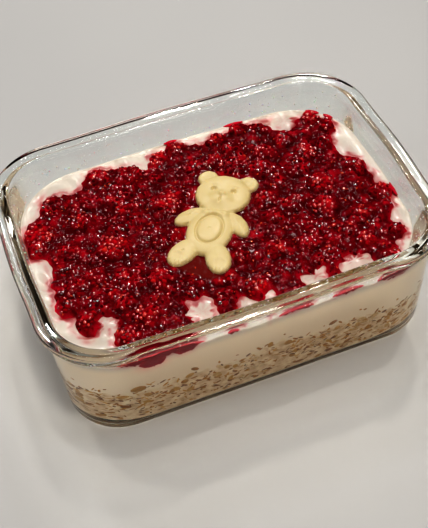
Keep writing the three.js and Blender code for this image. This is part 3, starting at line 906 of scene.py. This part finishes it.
def jellyMaterial():
    # Pools of juice are dark; pulp that stands up out of them is brighter. Part of this is painted shade in
    # the hollows and painted light on the tops of lumps and berries.
    material, tree, shader = newMaterial("raspberryJelly")
    wetCoat(tree, shader, 0.07, 0.12, 2.0)
    # Height of the pulp: its own lighter colour, and also painted light on tops and painted shade in
    # hollows.
    raisedPulpAndPaintedLight = addMath(tree, "MULTIPLY", addAttribute(tree, "raisedPulpAndPaintedLight"), 0.44)
    pulpToneAndPaintedLight = addMath(tree, "ADD", addMath(tree, "SUBTRACT", addNoise(tree, 150, 5.0, 0.62), 0.19), raisedPulpAndPaintedLight)
    thin = addRamp(tree, "thin", [(0.0, (0, 0, 0)), (1.0, (1, 1, 1))])
    washed = addMix(tree, thin, addRamp(tree, pulpToneAndPaintedLight, compote["reds"]), compote["thinRed"])
    paint(tree, shader, addMix(tree, addAttribute(tree, "pool"), washed, compote["poolRed"]))
    setInputs(shader, Subsurface_Weight=0.15, Subsurface_Scale=0.002, Subsurface_Radius=(1.0, 0.12, 0.12))
    addBump(tree, shader, addNoise(tree, 620, 3.0, 0.6), 0.3, 0.0005)
    return material


def berryPlaces():
    # More berries on a staggered grid, each moved by chance, wherever none stands yet.
    rng = np.random.default_rng(compote["seed"])
    pitch = compote["berrySpacing"]
    places = []
    reachX, reachY = compote["reach"]
    for i, y in enumerate(np.arange(-reachY, reachY + 1, pitch * staggered)):
        x = np.arange(-reachX, reachX + 1, pitch) + (i % 2) * pitch / 2
        places.append(np.stack([x, np.full(len(x), y)], 1))
    xy = np.concatenate(places)
    x, y = (xy + rng.normal(0, pitch * 0.2, xy.shape)).T
    radius = rng.uniform(*compote["berryRadius"], len(x))
    height = rng.uniform(*compote["berryHeight"], len(x))
    bright = 0.6 * rng.uniform(0, 1, len(x)) ** 1.5
    keep = rng.uniform(0, 1, len(x)) < compote["berryShare"]
    keep &= (coverAt(x, y) > 3.0) & (nearBear(x, y) < -radius * 0.45)
    for px, py, reach, _, _ in brightBerries:
        keep &= np.hypot(x - px, y - py) > 0.8 * (reach + radius)
    return np.concatenate([brightBerries, np.stack([x, y, radius, height, bright], 1)[keep]])


def domeHeight(x, y, berries):
    # Round caps, one for each berry, blended where they meet by the cube root of the sum
    # of their cubes.
    total = 0 * x
    for px, py, radius, height, _ in berries:
        share = 1 - ((x - px) ** 2 + (y - py) ** 2) / radius ** 2
        total = total + (height * np.clip(share, 0, None) ** 0.75) ** 3
    return total ** (1 / 3)


def pebbleHeight(x, y):
    # Small lumps of pulp: one round cap to a cell of a square grid, moved by chance; the
    # highest of the nine nearest shows.
    pitch, cells = compote["pebblePitch"], compote["pebbleCells"]
    chance = np.random.default_rng(compote["seed"] + 1).uniform(0, 1, (3, cells, cells))
    column, row = np.floor(x / pitch), np.floor(y / pitch)
    best = 0 * x
    for across in (-1, 0, 1):
        for along in (-1, 0, 1):
            i, j = column + across, row + along
            moveX, moveY, size = chance[:, i.astype(int) % cells, j.astype(int) % cells]
            gap = np.hypot(x - (i + moveX) * pitch, y - (j + moveY) * pitch)
            share = 1 - (gap / (pitch * (0.42 + 0.42 * size))) ** 2
            best = np.maximum(best, (0.4 + 0.6 * size) * np.sqrt(np.clip(share, 0, None)))
    return best


def poolShare(x, y):
    # 1 in the middle of a pool of juice by the bear's feet, 0 outside it.
    px, py, long, wide, turn = compote["pool"]
    u, v = turned(x, y, px, py, turn)
    return smoothStep((1 - np.hypot(u / long, v / wide)) * 3)


def compoteSurface(x, y, berries, cover):
    # Jelly level, berries and wrinkles, rounded down at the edge and flat by the bear and
    # in the pool.
    calm = smoothStep((-nearBear(x, y) - compote["calmGap"]) / compote["calmWidth"])
    calm = compote["calmShare"] + (1 - compote["calmShare"]) * calm * (1 - poolShare(x, y))
    relief = domeHeight(x, y, berries) + compote["wrinkle"] * ripple(x, y, compote["wrinkleLength"], 43)
    pebbles = compote["pebble"] * pebbleHeight(x, y) * (0.25 + 0.75 * smoothStep(cover / 5))
    relief = relief + compote["wave"] * ripple(x, y, compote["waveLength"], 44) + pebbles
    body = compote["rise"] + relief * calm
    edge = np.sqrt(smoothStep(cover / compote["edgeWidth"] + 0.02))
    drop = compote["edgeDrop"]
    return dish["food"] - drop + (drop + body) * edge - 2.0 * smoothStep(-cover / 3)


def wallRadius(x, y, inward):
    # Distance from the middle to the inner wall, moved inward, in the points' directions.
    outline = innerAt(foodStations, dish["food"], inward)
    angle = np.arctan2(outline[:, 1], outline[:, 0])
    order = np.argsort(angle)
    return np.interp(np.arctan2(y, x), angle[order], np.hypot(*outline.T)[order], period=2 * math.pi)


def boxGrid(columns, rows, inward):
    # A square grid drawn out to the box's inside: each point keeps its share of the
    # way from the middle to the wall, and the rows bend only close to the corners.
    u, v = np.meshgrid(np.linspace(-1, 1, columns), np.linspace(-1, 1, rows))
    share = np.maximum(np.abs(u), np.abs(v)) + 1e-9
    a, b = dish["halfLength"] - dish["mouthInset"] - inward, dish["halfWidth"] - dish["mouthInset"] - inward
    edgeX, edgeY = u / share * a, v / share * b
    pull = 1 + (wallRadius(edgeX, edgeY, inward) / np.hypot(edgeX, edgeY) - 1) * share ** 5
    return edgeX * share * pull, edgeY * share * pull


def makeCompote(berries):
    # The top as a grid, its rim joined to a smaller flat underside.
    columns, rows = compote["columns"], compote["rows"]
    x, y = boxGrid(columns, rows, compote["wallGap"])
    cover = coverAt(x, y)
    z = compoteSurface(x, y, berries, cover)
    total = columns * rows
    rim = np.concatenate([np.arange(columns), np.arange(1, rows) * columns + columns - 1,
                          total - 2 - np.arange(columns - 1), (np.arange(rows - 2, 0, -1)) * columns])
    under = dish["food"] - compote["depth"] + 0.5
    lower = flatRing(np.stack([x.ravel()[rim], y.ravel()[rim]], 1) * 0.97, under)
    points = np.concatenate([np.stack([x, y, z], -1).reshape(-1, 3), lower, [[0, 0, under]]])
    foot = total + np.arange(len(rim))
    side = np.stack([np.roll(rim, -1), rim, foot, np.roll(foot, -1)], 1)
    below = np.stack([foot, np.full(len(rim), len(points) - 1), np.roll(foot, -1)], 1)
    patchy = smoothStep(0.75 + 0.45 * ripple(x, y, 14, 45))
    pool = poolShare(x, y)
    # Lighter on the tops of the lumps and berries: partly the pulp's own colour, partly painted light and
    # shade.
    raisedPulpAndPaintedLight = (0.65 * pebbleHeight(x, y) + 0.12 * domeHeight(x, y, berries)) * (1 - pool)
    thin = (1 - smoothStep(cover / compote["thinWidth"])) * patchy
    looks = {"thin": thin, "raisedPulpAndPaintedLight": raisedPulpAndPaintedLight, "pool": pool}
    looks = {key: np.concatenate([values.ravel(), np.zeros(len(rim) + 1)]) for key, values in looks.items()}
    shape = (points, np.concatenate([gridFaces(rows, columns, False), side]), below)
    piece = makePiece("raspberryJelly", shape, jellyMaterial(), looks)
    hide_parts("raspberry_compote")


def touchPlaces(outline, length):
    # The stretches of wall where the compote reaches the glass: middle, half length.
    touching = coverAt(outline[:, 0], outline[:, 1]) > smear["touch"]
    edges = np.flatnonzero(touching != np.roll(touching, 1))
    first, ends = edges[touching[edges]], edges[~touching[edges]]
    last = np.array([ends[ends > f].min(initial=len(outline) + edges[0]) for f in first])
    start, end = length[first], length[last % len(outline)] + np.where(last < len(outline), 0, length[-1])
    return (start + end) / 2, (end - start) / 2


def makeSmears():
    # Juice and pulp pressed on the glass: each a ball drawn out along the wall, flattened
    # against it, with a ragged lower edge.
    rng = np.random.default_rng(smear["seed"])
    outline = innerAt(foodStations, dish["food"], 0)
    length = lengthsRound(outline)
    rows = []
    for middle, half in zip(*touchPlaces(outline, length)):
        if np.interp(middle, length[:-1], outline[:, 0]) > smear["leftEnd"]:
            rows.append((middle, half + smear["spare"], rng.uniform(*smear["low"]), smear["high"], 0))
    for x, y, half, low, high, lean in smear["deep"]:
        nearest = np.argmin(np.hypot(outline[:, 0] - x, outline[:, 1] - y))
        rows.append((length[nearest], half, low, high, lean))
    ball, quads, triangles = unitBall(28, 48)
    points = []
    for i, (middle, half, low, high, lean) in enumerate(rows):
        along = middle + half * ball[:, 2]
        level = (low + high) / 2 + lean * half * ball[:, 2]
        drop = (high - low) / 2 * np.clip(1 + 0.25 * ripple(along, 0 * along, 9, 60 + i, 5), 0.4, 1.4)
        full = np.sign(ball[:, 0]) * np.abs(ball[:, 0]) ** 0.8 * np.sqrt(1 - ball[:, 2] ** 2)
        ragged = 0.5 * ripple(along, 0 * along, 3.4, 80 + i, 5)
        ragged = ragged + 0.25 * ripple(along, 0 * along, 1.4, 95 + i, 5)
        z = level + drop * full + ragged * np.clip(-full, 0, 1)
        out = smear["press"] * np.sqrt(np.clip(ball[:, 1] + 0.15, 0, 1))
        out = out + 1.5 * np.clip(ball[:, 1], None, 0)
        points.append(wallPoints((along / length[-1]) % 1, z, out)[0])
    thin = np.tile(0.25 + 0.5 * (1 - np.clip(ball[:, 1], 0, 1)) ** 2, len(rows))
    faces = [repeated(corners, len(rows), len(ball)) for corners in (quads, triangles)]
    makePiece("wallSmears", (np.concatenate(points), *faces), jellyMaterial(), {"thin": thin})


drupelet = {
    "radius": (0.85, 1.45), "flat": (0.6, 0.9), "long": (0.9, 1.5),  # height and length against the radius
    "perArea": 0.55, "pitch": 2.1, "scatter": 0.45, "jitter": 0.16, "reach": (97, 68),
    "sink": 0.78, "showLift": 0.72,  # depth against the radius, and rise of those that show
    "wetBerry": 0.45, "wetLoose": 0.18,  # shares that glisten, on a berry and between berries
    "wetSize": 0.9, "wetLift": 0.3, "wetHighlightTone": 0.3,  # those are smaller and stand higher; their lighter tone is a painted highlight under their glints
    "edgeGap": 2.1, "bearGap": 1.8, "wallGap": 1.5,
    "seed": 61,
    "tones": [(0.0, (0.10, 0.0006, 0.005)), (0.4, (0.26, 0.0016, 0.010)), (0.75, (0.56, 0.006, 0.018)),
              (1.0, (0.78, 0.04, 0.03))],
    "dark": (0.72, 0.72, 0.72), "grain": 700,
}


def drupeletMaterial():
    material, tree, shader = newMaterial("raspberryDrupelets")
    wetCoat(tree, shader, addAttribute(tree, "wet"), 0.17, 3.2)
    paintGrains(tree, shader, drupelet, 2.0)
    setInputs(shader, Subsurface_Weight=0.2, Subsurface_Scale=0.0012, Subsurface_Radius=(1.0, 0.15, 0.12))
    return material


def drupeletPlaces(berries):
    # On each berry a sunflower spiral of drupelets; loose ones lie about in the jelly.
    rng = np.random.default_rng(drupelet["seed"])
    places = []
    golden = math.pi * (3 - math.sqrt(5))
    onBerry = 0.92  # share of a berry's radius that its drupelets cover
    for px, py, radius, _, bright in berries:
        count = int(radius ** 2 * drupelet["perArea"])
        j = np.arange(count)
        r = radius * onBerry * np.sqrt((j + 0.4) / count)
        a = golden * j + rng.uniform(0, 2 * math.pi)
        # The berry's own brightness, lighter towards its middle, the top of its dome, as painted light.
        lit = bright * np.clip(1.15 - (r / radius) ** 2, 0, 1)
        show = 0.40 + 0.30 * bright - 0.25 * (r / radius) ** 2
        x, y = px + r * np.cos(a), py + r * np.sin(a)
        places.append(np.stack([x, y, lit, show, np.full(count, drupelet["wetBerry"])], 1))
    pitch = drupelet["pitch"]
    reachX, reachY = drupelet["reach"]
    x, y = np.meshgrid(np.arange(-reachX, reachX, pitch), np.arange(-reachY, reachY, pitch * staggered))
    x = (x + (np.arange(len(x)) % 2)[:, None] * pitch / 2).ravel()
    x = x + rng.normal(0, drupelet["scatter"], len(x))
    y = y.ravel() + rng.normal(0, drupelet["scatter"], y.size)
    free = np.ones(len(x), bool)
    for px, py, radius, _, _ in berries:
        free &= np.hypot(x - px, y - py) > radius * onBerry
    x, y = x[free], y[free]
    n = len(x)
    lit, show = rng.uniform(0, 0.3, n), rng.uniform(-0.3, 0.16, n)
    loose = np.stack([x, y, lit, show, np.full(n, drupelet["wetLoose"])], 1)
    return np.concatenate(places + [loose]), rng


def surfaceNormals(x, y, z, berries):
    # Upright less the surface's slopes, which are differences over a short step.
    step = 0.4
    slopeX = (compoteSurface(x + step, y, berries, coverAt(x + step, y)) - z) / step
    slopeY = (compoteSurface(x, y + step, berries, coverAt(x, y + step)) - z) / step
    return unitRows(np.stack([-slopeX, -slopeY, 1 + 0 * x], 1))


def clearOfAll(x, y, edgeGap, bearGap):
    # Whether a place is inside the compote and clear of the bear and the glass.
    clear = (coverAt(x, y) > edgeGap) & (nearBear(x, y) < -bearGap)
    return clear & (np.hypot(x, y) < wallRadius(x, y, drupelet["wallGap"]))


def makeDrupelets(berries):
    # Flattened balls half sunk in the surface; more of each shows the brighter its berry.
    places, rng = drupeletPlaces(berries)
    x, y, bright, show, wetShare = places.T
    x = x + rng.normal(0, drupelet["jitter"], len(x))
    y = y + rng.normal(0, drupelet["jitter"], len(y))
    keep = clearOfAll(x, y, drupelet["edgeGap"], drupelet["bearGap"]) & (poolShare(x, y) < 0.5)
    x, y, bright, show, wetShare = x[keep], y[keep], bright[keep], show[keep], wetShare[keep]
    n = len(x)
    glistens = rng.uniform(0, 1, n) < wetShare
    wet = np.where(glistens, rng.uniform(0.3, 1, n), 0.0)
    z = compoteSurface(x, y, berries, coverAt(x, y))
    normals = surfaceNormals(x, y, z, berries)
    radius = rng.uniform(*drupelet["radius"], n) * np.where(glistens, drupelet["wetSize"], 1)
    lift = np.where(glistens, drupelet["wetLift"], 0)
    sink = radius * (drupelet["sink"] - drupelet["showLift"] * show - rng.uniform(0, 0.2, n) - lift)
    centres = np.stack([x, y, z], 1) - normals * sink[:, None]
    sizes = np.stack([radius * rng.uniform(*drupelet["long"], n), radius * rng.uniform(0.8, 1, n),
                      radius * rng.uniform(*drupelet["flat"], n)], 1)
    # Glistening drupelets get a lighter tone: a painted highlight that makes their glints read pink.
    tone = 0.74 * bright + rng.normal(0.02, 0.19, n) + np.where(glistens, drupelet["wetHighlightTone"], 0)
    tone = np.clip(tone, 0, 1)
    axes = turnsTo(normals, rng.uniform(0, 6.3, n))
    material = drupeletMaterial()
    for name, part in (("raspberryDrupeletsLeft", x < 0), ("raspberryDrupeletsRight", x >= 0)):
        scatterPiece(name, unitBall(7, 5), centres[part], sizes[part], axes[part], material,
                     {"tone": tone[part], "wet": wet[part]})
    print("drupelets", n)


seeds = {
    "count": 380, "long": 0.75, "wide": 0.42, "flat": 0.8, "lift": 0.12, "tilt": 0.5, "seed": 71,
    "edgeGap": 1.5, "bearGap": 2.0, "reach": (96, 67),
    "tones": [(0.0, (0.42, 0.012, 0.01)), (1.0, (0.80, 0.11, 0.045))],
}


def seedMaterial():
    material, tree, shader = newMaterial("raspberrySeeds")
    wetCoat(tree, shader, 0.3, 0.1, 1.8)
    paint(tree, shader, addRamp(tree, "tone", seeds["tones"]))
    return material


def makeSeeds(berries):
    # Pale seeds that glow through the jelly and the drupelets, level with the surface.
    rng = np.random.default_rng(seeds["seed"])
    n = seeds["count"]
    x, y = (rng.uniform(-reach, reach, n) for reach in seeds["reach"])
    keep = clearOfAll(x, y, seeds["edgeGap"], seeds["bearGap"])
    x, y = x[keep], y[keep]
    n = len(x)
    z = compoteSurface(x, y, berries, coverAt(x, y))
    normals = unitRows(np.c_[rng.normal(0, seeds["tilt"], (n, 2)), np.ones(n)])
    size = rng.uniform(0.75, 1.2, n)[:, None]
    sizes = np.array([[seeds["long"], seeds["wide"], seeds["wide"] * seeds["flat"]]]) * size
    axes = turnsTo(normals, rng.uniform(0, 6.3, n))
    scatterPiece("raspberrySeeds", unitBall(7, 4), np.stack([x, y, z + seeds["lift"]], 1), sizes, axes,
                 seedMaterial(), {"tone": rng.uniform(0, 1, n)})


mist = {
    "count": 620, "radius": (0.14, 0.5), "low": 54.8, "high": 66.5, "flat": 0.45, "seed": 81,
    # The beads are white rather than clear: a painted highlight in place of their glints.
    "glintWhites": [(0.3, (0.95, 0.96, 0.97)), (0.7, (0.99, 0.99, 0.99))],
}


def waterMaterial():
    material, tree, shader = newMaterial("waterBeads")
    setInputs(shader, Roughness=0.22, IOR=1.33, Coat_Weight=1.0, Coat_Roughness=0.08)
    setInputs(shader, Subsurface_Weight=1.0, Subsurface_Scale=0.001)
    # White all through, standing in for the glints of clear water: painted highlight.
    paint(tree, shader, addRamp(tree, addNoise(tree, 900), mist["glintWhites"]))
    return material


def makeMist():
    # Beads of water on the inner wall above the food: flat balls, thickest low down.
    rng = np.random.default_rng(mist["seed"])
    n = mist["count"]
    z = mist["low"] + (mist["high"] - mist["low"]) * rng.uniform(0, 1, n) ** 1.3
    centres, normals = wallPoints(rng.uniform(0, 1, n), z, 0)
    small, large = mist["radius"]
    radius = rng.uniform(0, 1, n) ** 2 * (large - small) + small
    sizes = np.stack([radius, radius * rng.uniform(0.8, 1.1, n), radius * mist["flat"]], 1)
    axes = turnsTo(unitRows(normals), 0 * z)
    scatterPiece("waterBeads", unitBall(8, 5), centres, sizes, axes, waterMaterial())


stage = {
    "floorHalf": 3.0, "floorDrop": 0.0003,  # metres
    "greys": [(0.3, (0.52, 0.52, 0.52)), (0.7, (0.56, 0.56, 0.555))],
    "aim": (0, 0, 0.05),
    # place in metres, width and height in metres, watts, colour
    "lamps": {
        "softOverhead": ((0.2, -0.2, 1.2), (0.16, 0.16), 4.3, (1.0, 0.955, 0.9)),
        "warmFront": ((0.0, -1.2, 0.35), (0.6, 0.3), 1.8, (1.0, 0.88, 0.74)),
        "windowSide": ((-1.1, 0.1, 0.6), (0.12, 0.4), 1.0, (0.94, 0.97, 1.0)),
        "ceilingSpot0": ((0.35, 0.7, 0.95), (0.06, 0.06), 2.2, (1.0, 0.96, 0.91)),
        "ceilingSpot1": ((0.25, 0.3, 1.25), (0.06, 0.06), 2.2, (1.0, 0.96, 0.91)),
        "ceilingSpot2": ((-0.15, 0.75, 1.1), (0.06, 0.06), 2.2, (1.0, 0.96, 0.91)),
        "longTube": ((0.0, 0.95, 1.0), (1.4, 0.02), 1.5, (0.97, 0.98, 1.0)),
    },
    "room": (1.0, 0.98, 0.96, 1), "roomStrength": 0.035,
}


def makeFloor():
    # One large pale square just below the glass.
    half, z = stage["floorHalf"], -stage["floorDrop"]
    mesh = bpy.data.meshes.new("paleFloor")
    corners = [(-half, -half, z), (half, -half, z), (half, half, z), (-half, half, z)]
    mesh.from_pydata(corners, [], [(0, 1, 2, 3)])
    material, tree, shader = newMaterial("paleFloor")
    setInputs(shader, Roughness=0.6)
    paint(tree, shader, addRamp(tree, addNoise(tree, 3, 2.0), stage["greys"]))
    mesh.materials.append(material)
    floor = bpy.data.objects.new("paleFloor", mesh)
    bpy.context.scene.collection.objects.link(floor)


def makeLights():
    # Rectangular lamps that face the glass box, and a faint even room.
    for name, (place, size, energy, colour) in stage["lamps"].items():
        light = bpy.data.lights.new(name, "AREA")
        light.shape = "RECTANGLE"
        light.size, light.size_y = size
        light.energy = energy
        light.color = colour
        lamp = bpy.data.objects.new(name, light)
        bpy.context.scene.collection.objects.link(lamp)
        lamp.location = place
        lamp.rotation_euler = (Vector(stage["aim"]) - Vector(place)).to_track_quat("-Z", "Y").to_euler()
    world = bpy.data.worlds.new("softRoom")
    bpy.context.scene.world = world
    world.use_nodes = True
    setInputs(world.node_tree.nodes["Background"], Color=stage["room"], Strength=stage["roomStrength"])


camera = {
    "azimuth": -17.457, "elevation": 49.279, "roll": -4.698,  # degrees
    "distance": 620.1, "aim": (3.83, 17.86, 0.0),
    "focalPixels": 1100.0, "longSidePixels": 528.0, "sensor": 36.0,
    "clip": (0.05, 20),  # metres
}


def makeCamera():
    # The view direction by azimuth and elevation, then turned about itself by roll.
    azimuth, elevation, roll = (math.radians(camera[key]) for key in ("azimuth", "elevation", "roll"))
    back = np.array([math.sin(azimuth) * math.cos(elevation), -math.cos(azimuth) * math.cos(elevation),
                     math.sin(elevation)])
    right = np.cross([0, 0, 1], back)
    right /= np.linalg.norm(right)
    up = np.cross(back, right)
    c, s = math.cos(roll), math.sin(roll)
    rightTurned, upTurned = c * right + s * up, -s * right + c * up
    place = (np.array(camera["aim"]) + back * camera["distance"]) * mm
    data = bpy.data.cameras.new("photoCamera")
    data.sensor_width = camera["sensor"]
    data.lens = camera["sensor"] * camera["focalPixels"] / camera["longSidePixels"]
    data.clip_start, data.clip_end = camera["clip"]
    eye = bpy.data.objects.new("photoCamera", data)
    bpy.context.scene.collection.objects.link(eye)
    matrix = np.eye(4)
    matrix[:3, 0], matrix[:3, 1], matrix[:3, 2], matrix[:3, 3] = rightTurned, upTurned, back, place
    eye.matrix_world = Matrix(matrix.tolist())
    bpy.context.scene.camera = eye


makeCamera()
makeLights()
makeFloor()
print("stage ready")
makeGlass()
berries = berryPlaces()
print("berries", len(berries))
makeOats()
makeFlecks("branFlecks", bran)
makeFlecks("oatFlakes", flake)
makeYogurt()
makeCompote(berries)
makeSmears()
makeDrupelets(berries)
makeSeeds(berries)
makeBear()
makeMist()

bpy.context.scene.view_settings.view_transform = "Standard"
bpy.context.scene.view_settings.look = "High Contrast"
